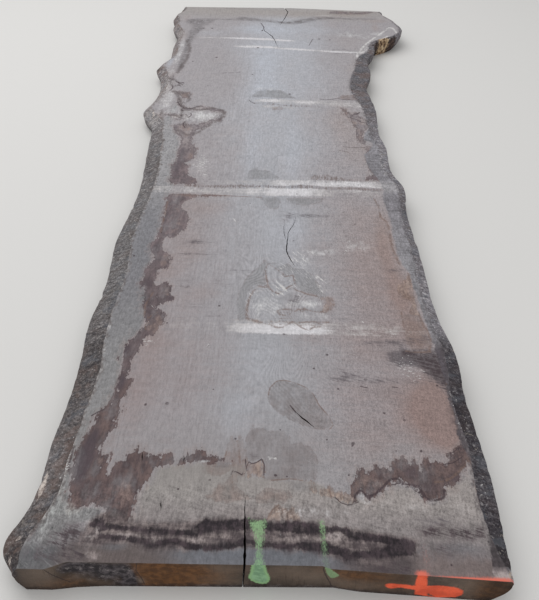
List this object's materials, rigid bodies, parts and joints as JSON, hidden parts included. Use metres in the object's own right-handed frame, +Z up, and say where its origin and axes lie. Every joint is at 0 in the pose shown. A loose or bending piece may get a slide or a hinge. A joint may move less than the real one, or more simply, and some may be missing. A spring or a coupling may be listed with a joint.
{
  "type": "live edge timber slab",
  "caption": "Long sawn timber slab with flat sawn faces, natural wavy live edges with wane, saw-cut ends, a burl swelling near the far end, drying checks and weathered stains.",
  "frame": {"origin": "middle of the slab's bounding box, on the underside", "axes": "+Y along the slab's length from the near end, which has the long end check, to the far end with the burl; +X across the width, towards the burl's side; +Z up, out of the weathered sawn top face"},
  "size_m": [1.1115, 3.0306, 0.076],
  "materials": {
    "timber": "rough sawn and weathered grey, unfinished"
  },
  "bodies": {
    "root": {"slab": "timber"}
  },
  "joints": []
}
